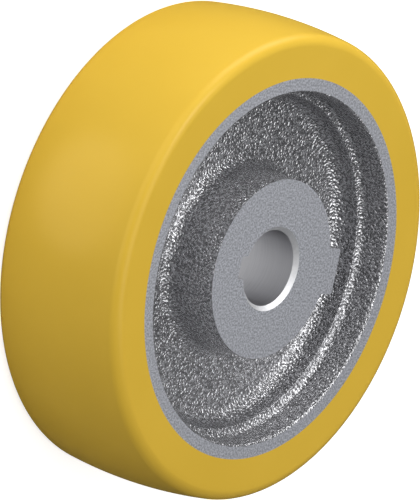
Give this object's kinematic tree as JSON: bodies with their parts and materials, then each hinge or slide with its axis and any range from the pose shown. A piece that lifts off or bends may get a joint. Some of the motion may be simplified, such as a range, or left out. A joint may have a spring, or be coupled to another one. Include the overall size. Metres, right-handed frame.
{
  "type": "drive wheel",
  "caption": "Heavy drive wheel: a cast-iron centre with a keyed bore and a boss on its hub, and a thick bonded polyurethane tread with a slight crown.",
  "frame": {"origin": "middle of the wheel, on its axis, halfway between the two side faces", "axes": "+Z along the wheel's axis, towards the side that carries the boss; +X from the axis through the boss; the keyway lies at -X. The wheel lies on its side."},
  "size_m": [0.25, 0.2498, 0.08],
  "materials": {
    "casting": "rough cast skin, with turned faces, rim edge and bore left bare",
    "polyurethane": "smooth satin, turned on the running surface"
  },
  "bodies": {
    "root": {"wheel_centre": "casting", "tread": "polyurethane"}
  },
  "joints": []
}
